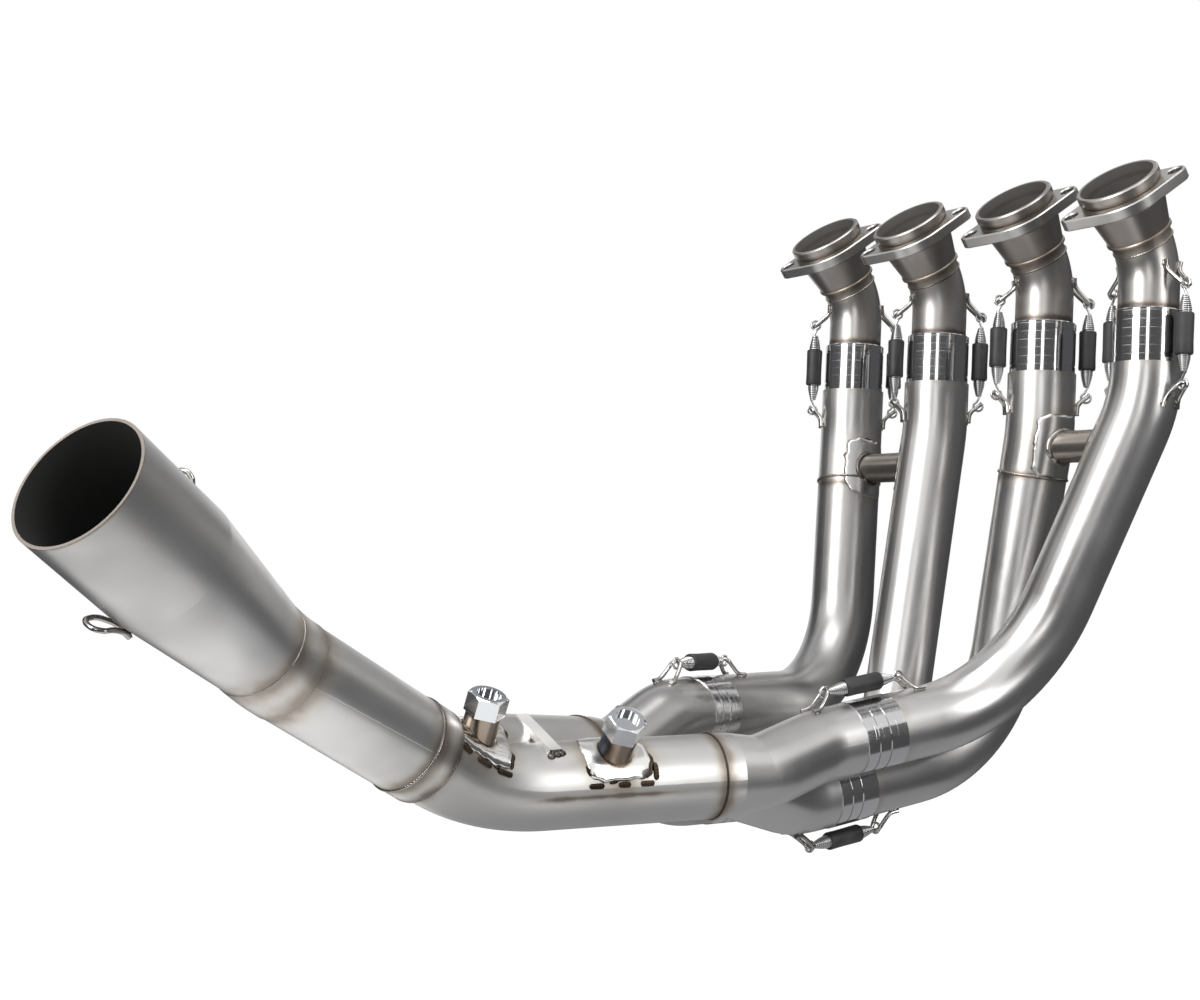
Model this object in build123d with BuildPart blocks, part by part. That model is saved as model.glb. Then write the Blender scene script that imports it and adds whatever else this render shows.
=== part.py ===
"""Four-into-two-into-one exhaust header, each piece in its own file.

Millimetres, +Z up.  The origin is the middle of the row of four port lips.  +X is forward, +Y is the
side of pipe 1, and the tail leaves rearward and up along -X.
"""
import os

from math import cos, radians, sin

from build123d import *

# Ports
PITCH_OUTER = 79.0          # pipe 1 to 2 and pipe 3 to 4
PITCH_MIDDLE = 89.0         # pipe 2 to 3
PORT_LEAN = 35.5            # the port face leans back from level, degrees
LIP_R = 25.0
MOUTH_R = 22.4
COLLAR_R = 23.0             # the loose plate slides on this radius
COLLAR_STEP = 9.0           # lip face to the shoulder that the plate pulls on
COLLAR_LENGTH = 37.5
PLATE_T = 7.0
PLATE_RIM = 2.8
PLATE_EDGE = 0.7            # chamfer round both faces of the plate
STUD_CIRCLE = 64.0
STUD_HOLE_R = 4.25
EAR_R = 6.5
EAR_TURN = 40.0             # the line of the two studs, turned from the row, degrees

# Pipes
WALL = 1.5
STUB_R = 18.0
PRIMARY_R = 21.2
SECONDARY_R = 23.5
TAIL_R = 25.4
STUB_LEG = 16.5             # foot of the collar to the corner of the stub
STUB_BEND = 45.0
JOINT_LEAN = 3.5            # the upper joints lean back from plumb, degrees
JOINT_DROP = 48.0           # stub corner to the middle of the upper joint

# Slip rings
UPPER_RING_R = 20.3
UPPER_RING_L = 32.0
LOWER_RING_R = 21.7
LOWER_RING_L = 28.0
SPIGOT_L = 8.0
STUB_SEAT = 22.0            # how deep the stub sits in its ring
RING_GROOVE = 0.5

# Primary runs: depth of the first corner below the upper joint, second corner, lower joint, bends
RUNS = {
    1: (48.0, (-8.0, 104.0, -320.5), (-167.5, 60.0, -317.5), (150.0, 85.0)),
    2: (46.0, (-24.0, 43.0, -364.0), (-165.0, 43.0, -362.0), (150.0, 62.0)),
    3: (50.0, (14.0, -12.0, -346.0), (-111.5, -2.0, -362.5), (150.0, 80.0)),
    4: (38.0, (-8.0, -51.5, -311.0), (-115.0, -31.0, -327.5), (100.0, 100.0)),
}

# Collectors, secondaries and tail
FRONT_OUTLET = Vector(-233.0, -24.0, -344.0)
REAR_OUTLET = Vector(-280.5, 36.0, -336.0)
REAR_CORNER = Vector(-342.0, 20.0, -330.0)
TAIL_START = Vector(-404.0, -3.0, -322.5)
TAIL_KINK = Vector(-499.0, -20.6, -270.0)
MOUTH = Vector(-612.0, -67.0, -190.0)
FRONT_LEG = 45.0            # length of the front secondary's last straight
FRONT_BEND = 110.0
REAR_BEND = 70.0
REAR_STOP = 14.0            # the rear secondary ends this far short of the tail
COLLECTOR_LIP = 12.0
COLLECTOR_TAPER = 3.3
COLLECTOR_TAPER_L = 24.0
NECK = 22.0
NECK_BEND = 50.0
ELBOW = 33.0                # the first neck turns into line with the outlet this far before it
MERGE_RING_L = 14.0
MERGE_RING_R = 26.0
TAIL_RING_HALF = 11.0
TAIL_RING_BEND = 100.0
MOUTH_R_OUT = 33.3
CONE_L = 72.0

# Crossover tubes
CROSS_R = 10.0
CROSS_WALL = 1.5
CROSS_DROP = {(1, 2): 55.1, (3, 4): 47.1}   # below the top of the primaries
PAD_T = 1.2
PAD_R = 19.0

# Lambda bungs: how far along the front secondary they stand, lean from plumb
BUNG_R = 9.5
BUNG_BORE = 6.5
BUNG_RISE = 14.0
BUNG_SPOTS = {"front": (64.5, 40.0), "rear": (147.0, 25.0)}
HEX_AF = 19.0
HEX_T = 11.0
HEX_CHAMFER = 1.2
PLUG_DISH_R = 6.5
SADDLE_T = 1.5
SADDLE_W = 34.0

# Tie strap
STRAP_X = -332.0
STRAP_L = 36.0
STRAP_T = 1.8

# Springs
SPRING_R = 4.0
SLEEVE_R = 5.5
SLEEVE_L = 25.0
SPRING_L = 40.0
EYE_R = 4.0
EYE_T = 2.0
HOOK_BAR_R = 1.6
HOOK_LEG = 3.2
HOOK_W = 11.0
HOOK_REACH = 26.0
HOOK_SLOPE = 40.0
UPPER_REACH = 28.0          # pipe axis to spring axis
UPPER_SPAN = 60.0           # eye to eye
LOWER_REACH = 30.0
LOWER_SPAN = 52.0
UPPER_TURNS = {1: (-40.0, 140.0), 2: (-40.0, 140.0), 3: (-40.0, 140.0), 4: (-95.0, 85.0)}
LOWER_TURNS = {1: 0.0, 2: 125.0, 3: 180.0, 4: 0.0}

# Outlet spring loops: distance along the cone, turn about its axis
LOOP_R = 6.5
LOOP_WIRE = 1.1
LOOP_SINK = 2.5
LOOP_SPOTS = ((70.0, 60.0), (80.0, 270.0))

UP = Vector(0, 0, 1)
PORT_Y = {
    1: PITCH_MIDDLE / 2 + PITCH_OUTER,
    2: PITCH_MIDDLE / 2,
    3: -PITCH_MIDDLE / 2,
    4: -PITCH_MIDDLE / 2 - PITCH_OUTER,
}
PORT_OUT = Vector(-sin(radians(PORT_LEAN)), 0, cos(radians(PORT_LEAN)))
JOINT_DOWN = Vector(-sin(radians(JOINT_LEAN)), 0, -cos(radians(JOINT_LEAN)))

os.makedirs("parts", exist_ok=True)


def save(shape, name):
    shape.label = name
    export_step(shape, f"parts/{name}.step")


def rod(points, bends, radius, hollow=0.0):
    """Round bar or tube along a line with rounded corners."""
    with BuildPart() as bar:
        with BuildLine() as run:
            if len(points) == 2:
                Line(*points)
            else:
                FilletPolyline(*points, radius=bends)
        wire = run.wire()
        with BuildSketch(Plane(wire @ 0, z_dir=wire % 0)):
            Circle(radius)
            if hollow:
                Circle(hollow, mode=Mode.SUBTRACT)
        sweep(path=wire)
    return bar.part


def turned(frame, outline):
    """Solid of revolution about the frame's Z from (radius, height) points."""
    half = Plane(frame.origin, x_dir=frame.x_dir, z_dir=-frame.y_dir)
    with BuildPart() as body:
        with BuildSketch(half):
            with BuildLine():
                Polyline(*outline, close=True)
            make_face()
        revolve(axis=Axis(frame.origin, frame.z_dir))
    return body.part


def port_frame(i):
    return Plane((0, PORT_Y[i], 0), x_dir=(0, -1, 0), z_dir=PORT_OUT)


def stub_corner(i):
    return port_frame(i).origin - PORT_OUT * (COLLAR_LENGTH + STUB_LEG)


def upper_joint(i):
    return stub_corner(i) + JOINT_DOWN * JOINT_DROP


def primary_points(i):
    first, corner, joint, bends = RUNS[i]
    joint = Vector(joint)
    back = (Vector(corner) - joint).normalized()
    start = upper_joint(i) + JOINT_DOWN * (UPPER_RING_L / 2)
    end = joint + back * (LOWER_RING_L / 2)
    return [start, upper_joint(i) + JOINT_DOWN * first, Vector(corner), end], bends


def lower_frame(i):
    """Frame in the middle of the lower joint, Z toward the collector."""
    joint = Vector(RUNS[i][2])
    return Plane(joint, z_dir=joint - Vector(RUNS[i][1]))


def on_primary(i, z):
    """Point of the second straight of a primary at a given height."""
    a, b = primary_points(i)[0][1:3]
    return a + (b - a) * ((z - a.Z) / (b.Z - a.Z))


# Port collars, plates and stubs
for i in PORT_Y:
    frame = port_frame(i)
    neck = STUB_R + 1.2
    save(turned(frame, [
        (MOUTH_R, 0), (LIP_R - 0.8, 0), (LIP_R, -0.8), (LIP_R, -4.5), (COLLAR_R + 0.4, -4.9),
        (COLLAR_R + 0.4, -6.8), (COLLAR_R + 1.7, -7.2), (COLLAR_R + 1.7, -COLLAR_STEP),
        (COLLAR_R, -COLLAR_STEP), (COLLAR_R, -COLLAR_STEP - PLATE_T - 1.0),
        (neck, 2.5 - COLLAR_LENGTH), (neck + 0.7, 1.8 - COLLAR_LENGTH), (neck + 0.7, 0.7 - COLLAR_LENGTH),
        (STUB_R, -COLLAR_LENGTH), (STUB_R - WALL, -COLLAR_LENGTH), (STUB_R - WALL, 6 - COLLAR_LENGTH),
    ]), f"port_collar_{i}")

    with BuildPart() as plate:
        with BuildSketch(frame.offset(-COLLAR_STEP)):
            with BuildSketch(mode=Mode.PRIVATE) as ears:
                Circle(COLLAR_R + PLATE_RIM)
                with PolarLocations(STUD_CIRCLE / 2, 2, start_angle=EAR_TURN):
                    Circle(EAR_R)
                make_hull()
            add(ears.sketch)
            Circle(COLLAR_R, mode=Mode.SUBTRACT)
            with PolarLocations(STUD_CIRCLE / 2, 2, start_angle=EAR_TURN):
                Circle(STUD_HOLE_R, mode=Mode.SUBTRACT)
        extrude(amount=-PLATE_T)
        chamfer(plate.faces().sort_by(Axis(frame.origin, frame.z_dir))[0].edges(), PLATE_EDGE)
        chamfer(plate.faces().sort_by(Axis(frame.origin, frame.z_dir))[-1].edges(), PLATE_EDGE)
    save(plate.part, f"port_flange_{i}")

    seat = upper_joint(i) + JOINT_DOWN * (STUB_SEAT - UPPER_RING_L / 2)
    foot = frame.origin - PORT_OUT * COLLAR_LENGTH
    save(rod([foot, stub_corner(i), seat], [STUB_BEND], STUB_R, STUB_R - WALL), f"stub_pipe_{i}")

# Upper slip rings
for i in PORT_Y:
    half = UPPER_RING_L / 2
    r = UPPER_RING_R
    spigot = PRIMARY_R - WALL
    save(turned(Plane(upper_joint(i), x_dir=(0, 1, 0), z_dir=-JOINT_DOWN), [
        (STUB_R, half), (r - 0.6, half), (r, half - 0.6), (r, half - 5), (r - RING_GROOVE, half - 5),
        (r - RING_GROOVE, half - 6), (r, half - 6), (r, 5 - half), (r - RING_GROOVE, 5 - half),
        (r - RING_GROOVE, 4 - half), (r, 4 - half), (r, -half), (spigot, -half), (spigot, -half - SPIGOT_L),
        (spigot - 1.2, -half - SPIGOT_L), (STUB_R - WALL, half - STUB_SEAT), (STUB_R, half - STUB_SEAT),
    ]), f"upper_slip_ring_{i}")

# Crossover runs
cross = {}
for pair, drop in CROSS_DROP.items():
    z = primary_points(pair[0])[0][0].Z - drop
    a, b = (on_primary(i, z) for i in pair)
    cross[pair] = [a, b]
cores = {i: rod(*primary_points(i), PRIMARY_R) for i in RUNS}

# Primaries, opened where a crossover tube meets them
for i in RUNS:
    points, bends = primary_points(i)
    pair = next(p for p in cross if i in p)
    with BuildPart() as primary:
        add(rod(points, bends, PRIMARY_R, PRIMARY_R - WALL))
        add(rod(cross[pair], [], CROSS_R - CROSS_WALL), mode=Mode.SUBTRACT)
    save(primary.part, f"primary_pipe_{i}")

for pair, ends in cross.items():
    with BuildPart() as tube:
        add(rod(ends, [], CROSS_R, CROSS_R - CROSS_WALL))
        for i in pair:
            add(cores[i], mode=Mode.SUBTRACT)
    save(tube.part, f"crossover_tube_{pair[0]}{pair[1]}")

    for i, near, far in ((pair[0], *ends), (pair[1], *reversed(ends))):
        toward = (far - near).normalized()
        with BuildPart() as pad:
            add(rod(*primary_points(i), PRIMARY_R + PAD_T))
            add(rod([near, near + toward * (PRIMARY_R + 8)], [], PAD_R), mode=Mode.INTERSECT)
            add(cores[i], mode=Mode.SUBTRACT)
            add(rod(ends, [], CROSS_R), mode=Mode.SUBTRACT)
        save(pad.part, f"crossover_saddle_{i}")

# Lower slip rings
for i in RUNS:
    half = LOWER_RING_L / 2
    r = LOWER_RING_R
    spigot = PRIMARY_R - WALL
    save(turned(lower_frame(i), [
        (spigot - 1.2, -half - SPIGOT_L), (spigot, -half - SPIGOT_L), (spigot, -half), (r, -half),
        (r, -2), (r - RING_GROOVE, -2), (r - RING_GROOVE, -1), (r, -1), (r, 6), (r - RING_GROOVE, 6),
        (r - RING_GROOVE, 7), (r, 7), (r, half), (spigot, half), (spigot, half + SPIGOT_L),
        (spigot - 1.2, half + SPIGOT_L),
    ]), f"lower_slip_ring_{i}")

# Secondary runs
tail_dir = (TAIL_KINK - TAIL_START).normalized()
mouth_dir = (MOUTH - TAIL_KINK).normalized()
front_corner = TAIL_START - tail_dir * FRONT_LEG
front_run = [FRONT_OUTLET, front_corner, TAIL_START]
rear_run = [REAR_OUTLET, REAR_CORNER, TAIL_START - tail_dir * REAR_STOP]


def collector_solid(inlets, run, shrink=0.0):
    """Two necks that run together into one round outlet, smaller all round by the shrink.

    The first inlet's neck turns into line with the outlet, and the other joins it from the side.
    """
    outlet = run[0]
    away = (run[1] - outlet).normalized()
    r = SECONDARY_R - shrink
    with BuildPart() as body:
        foot = COLLECTOR_LIP + COLLECTOR_TAPER_L
        add(turned(Plane(outlet, z_dir=away), [
            (0, 0), (r, 0), (r, -COLLECTOR_LIP), (r - COLLECTOR_TAPER, -foot), (0, -foot),
        ]))
        for i in inlets:
            mouth = lower_frame(i).offset(LOWER_RING_L / 2)
            neck = mouth.origin + mouth.z_dir * NECK
            way = [mouth.origin, neck, outlet - away * COLLECTOR_LIP / 2]
            if i == inlets[0]:
                way.insert(2, outlet - away * ELBOW)
            add(rod(way, [NECK_BEND] * (len(way) - 2), PRIMARY_R - shrink))
    return body.part


def collector(inlets, run):
    with BuildPart() as shell:
        add(collector_solid(inlets, run))
        add(collector_solid(inlets, run, WALL), mode=Mode.SUBTRACT)
    return shell.part.solids().sort_by(SortBy.VOLUME)[-1]


save(collector((4, 3), front_run), "y_collector_front")
save(collector((1, 2), rear_run), "y_collector_rear")

front_core = rod(front_run, [FRONT_BEND], SECONDARY_R)
rear_core = rod(rear_run, [REAR_BEND], SECONDARY_R)
rear_bore = rod(rear_run, [REAR_BEND], SECONDARY_R - WALL)


def on_front(x):
    """Point on the front secondary's axis where X has the given value."""
    a, b = front_run[:2]
    return a + (b - a) * ((x - a.X) / (b.X - a.X))


with BuildLine() as front_line:
    FilletPolyline(*front_run, radius=FRONT_BEND)
front_wire = front_line.wire()


def bung_axis(key):
    """Point on the front secondary's axis and the bung's outward direction."""
    along, lean = BUNG_SPOTS[key]
    base = front_wire.position_at(along, position_mode=PositionMode.LENGTH)
    side = front_wire.tangent_at(along, position_mode=PositionMode.LENGTH).cross(UP).normalized()
    if side.Y > 0:
        side = side * -1
    return base, UP * cos(radians(lean)) + side * sin(radians(lean))


def bung_rod(key, radius, start=0.0, rise=BUNG_RISE):
    base, out = bung_axis(key)
    return rod([base + out * start, base + out * (SECONDARY_R + rise)], [], radius)


with BuildPart() as front_pipe:
    add(rod(front_run, [FRONT_BEND], SECONDARY_R, SECONDARY_R - WALL))
    add(rear_bore, mode=Mode.SUBTRACT)
    for key in BUNG_SPOTS:
        add(bung_rod(key, BUNG_BORE), mode=Mode.SUBTRACT)
save(front_pipe.part.solids().sort_by(SortBy.VOLUME)[-1], "secondary_pipe_front")

with BuildPart() as rear_pipe:
    add(rod(rear_run, [REAR_BEND], SECONDARY_R, SECONDARY_R - WALL))
    add(front_core, mode=Mode.SUBTRACT)
save(rear_pipe.part, "secondary_pipe_rear")

# Lambda bungs, their weld saddles and plugs
for key in BUNG_SPOTS:
    base, out = bung_axis(key)
    with BuildPart() as bung:
        add(bung_rod(key, BUNG_R))
        add(front_core, mode=Mode.SUBTRACT)
        add(rear_core, mode=Mode.SUBTRACT)
        add(bung_rod(key, BUNG_BORE), mode=Mode.SUBTRACT)
    save(bung.part.solids().sort_by(SortBy.VOLUME)[-1], f"lambda_bung_{key}")

    with BuildPart() as saddle:
        add(rod(front_run, [FRONT_BEND], SECONDARY_R + SADDLE_T))
        add(rod(rear_run, [REAR_BEND], SECONDARY_R + SADDLE_T))
        with BuildSketch(Plane(base, x_dir=front_run[1] - front_run[0], z_dir=out)):
            RectangleRounded(SADDLE_W, SADDLE_W, 8)
        extrude(amount=SECONDARY_R + 8, mode=Mode.INTERSECT)
        add(front_core, mode=Mode.SUBTRACT)
        add(rear_core, mode=Mode.SUBTRACT)
        add(bung_rod(key, BUNG_R), mode=Mode.SUBTRACT)
    save(saddle.part.solids().sort_by(SortBy.VOLUME)[-1], f"lambda_saddle_{key}")

    top = Plane(base + out * (SECONDARY_R + BUNG_RISE), z_dir=out)
    with BuildPart() as plug:
        with BuildSketch(top):
            RegularPolygon(HEX_AF / 2, 6, major_radius=False)
        extrude(amount=HEX_T)
        add(turned(top, [
            (0, 0), (HEX_AF * 0.6, 0), (HEX_AF * 0.6, HEX_T - HEX_CHAMFER),
            (HEX_AF * 0.6 - 2 * HEX_CHAMFER, HEX_T), (0, HEX_T),
        ]), mode=Mode.INTERSECT)
        with BuildSketch(top.offset(HEX_T)):
            Circle(PLUG_DISH_R)
        extrude(amount=-3, mode=Mode.SUBTRACT)
        with BuildSketch(top):
            Circle(BUNG_BORE)
        extrude(amount=-8)
    save(plug.part, f"lambda_plug_{key}")

# Tail
ring_end = TAIL_START + tail_dir * MERGE_RING_L
with BuildPart() as merge_ring:
    add(rod([TAIL_START, ring_end], [], MERGE_RING_R, SECONDARY_R - WALL))
save(merge_ring.part, "merge_ring")

kink_in = TAIL_KINK - tail_dir * TAIL_RING_HALF
kink_out = TAIL_KINK + mouth_dir * TAIL_RING_HALF
save(rod([ring_end, kink_in], [], TAIL_R, TAIL_R - WALL), "tail_pipe")
save(rod([kink_in, TAIL_KINK, kink_out], [TAIL_RING_BEND], TAIL_R + 0.4, TAIL_R - WALL), "tail_ring")

cone_frame = Plane(kink_out, x_dir=mouth_dir.cross(UP), z_dir=mouth_dir)
cone_length = (MOUTH - kink_out).length
cone_outline = [(TAIL_R, 0), (MOUTH_R_OUT, CONE_L), (MOUTH_R_OUT, cone_length)]
bore_outline = [(r - WALL, z) for r, z in reversed(cone_outline)]
cone_solid = turned(cone_frame, [(0, 0), *cone_outline, (0, cone_length)])
save(turned(cone_frame, cone_outline + bore_outline), "outlet_cone")

with BuildPart() as loops:
    for along, turn in LOOP_SPOTS:
        out = cone_frame.x_dir * cos(radians(turn)) + cone_frame.y_dir * sin(radians(turn))
        r = TAIL_R + (MOUTH_R_OUT - TAIL_R) * min(along / CONE_L, 1.0)
        centre = kink_out + mouth_dir * along + out * (r + LOOP_R - LOOP_SINK)
        with Locations(Plane(centre, x_dir=mouth_dir, z_dir=mouth_dir.cross(out))):
            Torus(LOOP_R, LOOP_WIRE)
    add(cone_solid, mode=Mode.SUBTRACT)
save(loops.part, "outlet_hooks")

# Tie strap across the top of both secondaries
front_mid = on_front(STRAP_X)
share = (STRAP_X - REAR_OUTLET.X) / (REAR_CORNER.X - REAR_OUTLET.X)
rear_mid = REAR_OUTLET + (REAR_CORNER - REAR_OUTLET) * share
across = (rear_mid - front_mid).normalized()
above = Vector(-1, 0, 0).cross(across) * -1
with BuildPart() as strap:
    with Locations(Plane((front_mid + rear_mid) / 2 + above * SECONDARY_R, x_dir=across, z_dir=above)):
        Box(STRAP_L, 8, 2 * STRAP_T)
    add(front_core, mode=Mode.SUBTRACT)
    add(rear_core, mode=Mode.SUBTRACT)
save(strap.part, "secondary_tie_strap")

# Springs, rubber sleeves and welded hooks
front_solid = collector_solid((4, 3), front_run)
rear_solid = collector_solid((1, 2), rear_run)


def spring_frame(centre, along, out, reach):
    """Frame in the middle of a spring: Z along it, X away from the pipe."""
    along = along.normalized()
    out = (out - along * out.dot(along)).normalized()
    return Plane(centre + out * reach, x_dir=out, z_dir=along)


def spring(frame, span):
    with BuildPart() as body:
        with BuildSketch(frame.offset(-SPRING_L / 2)):
            Circle(SPRING_R)
        extrude(amount=SPRING_L)
        for end in (1, -1):
            eye = frame.origin + frame.z_dir * end * span / 2
            with BuildSketch(Plane(frame.origin, z_dir=frame.z_dir * end)):
                Circle(EYE_T * 0.4)
            extrude(amount=span / 2 - (EYE_R + HOOK_BAR_R) / 2)
            with BuildSketch(Plane(eye, x_dir=frame.x_dir, z_dir=frame.y_dir)):
                Circle(EYE_R)
                Circle(HOOK_BAR_R, mode=Mode.SUBTRACT)
            extrude(amount=EYE_T / 2, both=True)
    return body.part


def sleeve(frame):
    with BuildPart() as cover:
        with BuildSketch(frame.offset(-SLEEVE_L / 2)):
            Circle(SLEEVE_R)
            Circle(SPRING_R, mode=Mode.SUBTRACT)
        extrude(amount=SLEEVE_L)
    return cover.part


def hook(frame, span, end, pipe):
    """Bar through the spring's eye on two legs that slope back to the pipe's surface."""
    side = Plane(frame.origin + frame.z_dir * end * span / 2, x_dir=frame.x_dir, z_dir=frame.y_dir * -end)
    with BuildPart() as bracket:
        with BuildSketch(side):
            Circle(HOOK_BAR_R)
        extrude(amount=HOOK_W / 2, both=True)
        for y in (HOOK_W / 2, HOOK_LEG - HOOK_W / 2):
            with BuildSketch(side.offset(y)):
                with Locations(Rot(0, 0, 180 - HOOK_SLOPE)):
                    Rectangle(HOOK_REACH, HOOK_LEG, align=(Align.MIN, Align.CENTER))
            extrude(amount=-HOOK_LEG)
        add(pipe, mode=Mode.SUBTRACT)
    return bracket.part


for i in PORT_Y:
    stub_core = rod([port_frame(i).origin, stub_corner(i), upper_joint(i)], [STUB_BEND], STUB_R)
    frames = []
    for turn in UPPER_TURNS[i]:
        out = Vector(cos(radians(turn)), sin(radians(turn)), 0)
        high = spring_frame(upper_joint(i), JOINT_DOWN, out, UPPER_REACH)
        frames.append((high, UPPER_SPAN, stub_core, cores[i]))
    collector_core = front_solid if i > 2 else rear_solid
    out = Vector(0, sin(radians(LOWER_TURNS[i])), cos(radians(LOWER_TURNS[i])))
    low = spring_frame(lower_frame(i).origin, lower_frame(i).z_dir, out, LOWER_REACH)
    frames.append((low, LOWER_SPAN, cores[i], collector_core))

    springs = [spring(frame, span) for frame, span, _, _ in frames]
    sleeves = [sleeve(frame) for frame, _, _, _ in frames]
    hooks = [hook(f, span, end, pipe) for f, span, *pipes in frames for end, pipe in zip((-1, 1), pipes)]
    save(Compound(children=springs), f"springs_pipe_{i}")
    save(Compound(children=sleeves), f"spring_sleeves_pipe_{i}")
    save(Compound(children=hooks), f"spring_hooks_pipe_{i}")
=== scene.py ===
# %% [markdown]
# # Exhaust header
# A four-into-two-into-one motorcycle exhaust header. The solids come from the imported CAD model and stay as
# they are. This lesson gives them their metal, and adds what is too fine for the CAD: spring coils, bent wire
# hooks, rubber sleeves and weld beads. Everything is in metres, in the frame of the CAD model.

# %% Load the CAD model
import math

import bmesh
import bpy
from mathutils import Matrix, Vector, noise
from mathutils.bvhtree import BVHTree


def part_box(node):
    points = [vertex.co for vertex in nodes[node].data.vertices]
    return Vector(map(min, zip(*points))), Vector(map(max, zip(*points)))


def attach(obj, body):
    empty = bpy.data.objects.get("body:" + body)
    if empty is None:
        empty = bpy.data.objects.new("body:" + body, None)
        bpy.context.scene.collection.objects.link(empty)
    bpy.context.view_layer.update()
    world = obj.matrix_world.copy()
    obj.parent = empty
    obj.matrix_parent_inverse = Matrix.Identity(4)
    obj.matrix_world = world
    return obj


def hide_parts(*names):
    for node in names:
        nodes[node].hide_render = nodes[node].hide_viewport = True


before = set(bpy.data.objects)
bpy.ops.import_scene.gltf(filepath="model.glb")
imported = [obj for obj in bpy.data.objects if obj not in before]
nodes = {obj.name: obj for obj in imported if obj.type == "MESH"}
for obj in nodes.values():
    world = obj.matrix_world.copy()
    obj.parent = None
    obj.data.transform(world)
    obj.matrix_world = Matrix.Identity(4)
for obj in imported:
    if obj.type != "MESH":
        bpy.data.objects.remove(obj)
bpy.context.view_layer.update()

# %% [markdown]
# ## Camera
# The camera stands where the photographer stood: to the left of the tail, looking 37 degrees off the row's
# axis and very slightly up. Its place comes from fitting the round port lips and the tail mouth.

# %% Camera
VIEW_YAW = math.radians(37.1)
VIEW_PITCH = math.radians(1.39)
EYE = Vector((-0.9014, -0.8086, -0.2158))

flat_ahead = Vector((math.sin(VIEW_YAW), math.cos(VIEW_YAW), 0))
to_right = Vector((math.cos(VIEW_YAW), -math.sin(VIEW_YAW), 0))
ahead = flat_ahead * math.cos(VIEW_PITCH) + Vector((0, 0, math.sin(VIEW_PITCH)))
to_top = to_right.cross(ahead)

camera_data = bpy.data.cameras.new("camera")
camera_data.sensor_width = 36
camera_data.lens = 55.5
camera_data.clip_start = 0.05
camera = bpy.data.objects.new("camera", camera_data)
camera.matrix_world = Matrix((
    (to_right.x, to_top.x, -ahead.x, EYE.x),
    (to_right.y, to_top.y, -ahead.y, EYE.y),
    (to_right.z, to_top.z, -ahead.z, EYE.z),
    (0, 0, 0, 1),
))
bpy.context.collection.objects.link(camera)
bpy.context.scene.camera = camera
bpy.context.scene.view_settings.view_transform = "Standard"
print("camera at", tuple(round(v, 3) for v in EYE))

# %% [markdown]
# ## Studio
# Bright metal shows its surroundings more than its own colour. A white room alone would make it look like
# paper, so grey felt hangs round the sides, overhead and on the floor. Only reflections show it: the camera sees
# plain white, and shadows and diffuse light pass through. Soft lamps give the pale streaks along the pipes. The back
# stays open to the white background, apart from a grey strip high up.

# %% Background and floor
def new_material(name):
    material = bpy.data.materials.new(name)
    material.use_nodes = True
    tree = material.node_tree
    tree.nodes.clear()
    return material, tree, tree.nodes.new("ShaderNodeOutputMaterial")


def seen_directly(tree):
    """1 for rays from the camera, a mirror or glass, 0 for light that only falls on things."""
    path = tree.nodes.new("ShaderNodeLightPath")
    add = tree.nodes.new("ShaderNodeMath")
    add.operation = "ADD"
    tree.links.new(path.outputs["Is Camera Ray"], add.inputs[0])
    tree.links.new(path.outputs["Is Glossy Ray"], add.inputs[1])
    both = tree.nodes.new("ShaderNodeMath")
    both.operation = "ADD"
    both.use_clamp = True
    tree.links.new(add.outputs[0], both.inputs[0])
    tree.links.new(path.outputs["Is Transmission Ray"], both.inputs[1])
    return both.outputs[0]


world = bpy.data.worlds.new("white_room")
world.use_nodes = True
bpy.context.scene.world = world
wt = world.node_tree
wt.nodes.clear()
room = wt.nodes.new("ShaderNodeBackground")
room.inputs["Color"].default_value = (0.45, 0.45, 0.46, 1)
white = wt.nodes.new("ShaderNodeBackground")
white.inputs["Color"].default_value = (1, 1, 1, 1)
pick = wt.nodes.new("ShaderNodeMixShader")
wt.links.new(seen_directly(wt), pick.inputs[0])
wt.links.new(room.outputs[0], pick.inputs[1])
wt.links.new(white.outputs[0], pick.inputs[2])
wt.links.new(pick.outputs[0], wt.nodes.new("ShaderNodeOutputWorld").inputs[0])

FLOOR_Z = -0.62
bm = bmesh.new()
bmesh.ops.create_grid(bm, x_segments=1, y_segments=1, size=8, matrix=Matrix.Translation((0, 0, FLOOR_Z)))
floor_mesh = bpy.data.meshes.new("floor")
bm.to_mesh(floor_mesh)
bm.free()
floor = bpy.data.objects.new("floor", floor_mesh)
bpy.context.collection.objects.link(floor)
floor_material, tree, out = new_material("white_paper")
paper = tree.nodes.new("ShaderNodeBsdfDiffuse")
paper.inputs["Color"].default_value = (0.9, 0.9, 0.9, 1)
glow = tree.nodes.new("ShaderNodeEmission")
glow.inputs["Strength"].default_value = 1.1
shade = tree.nodes.new("ShaderNodeMath")
shade.operation = "MULTIPLY"
shade.inputs[1].default_value = 0.9
blend = tree.nodes.new("ShaderNodeMixShader")
tree.links.new(seen_directly(tree), shade.inputs[0])
tree.links.new(shade.outputs[0], blend.inputs[0])
tree.links.new(paper.outputs[0], blend.inputs[1])
tree.links.new(glow.outputs[0], blend.inputs[2])
tree.links.new(blend.outputs[0], out.inputs["Surface"])
floor_mesh.materials.append(floor_material)
print("floor at", FLOOR_Z)

# %% Felt that only the metal sees
FELT_R = 2.6
STUDIO_MIDDLE = Vector((-0.3, 0, 0))


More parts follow.
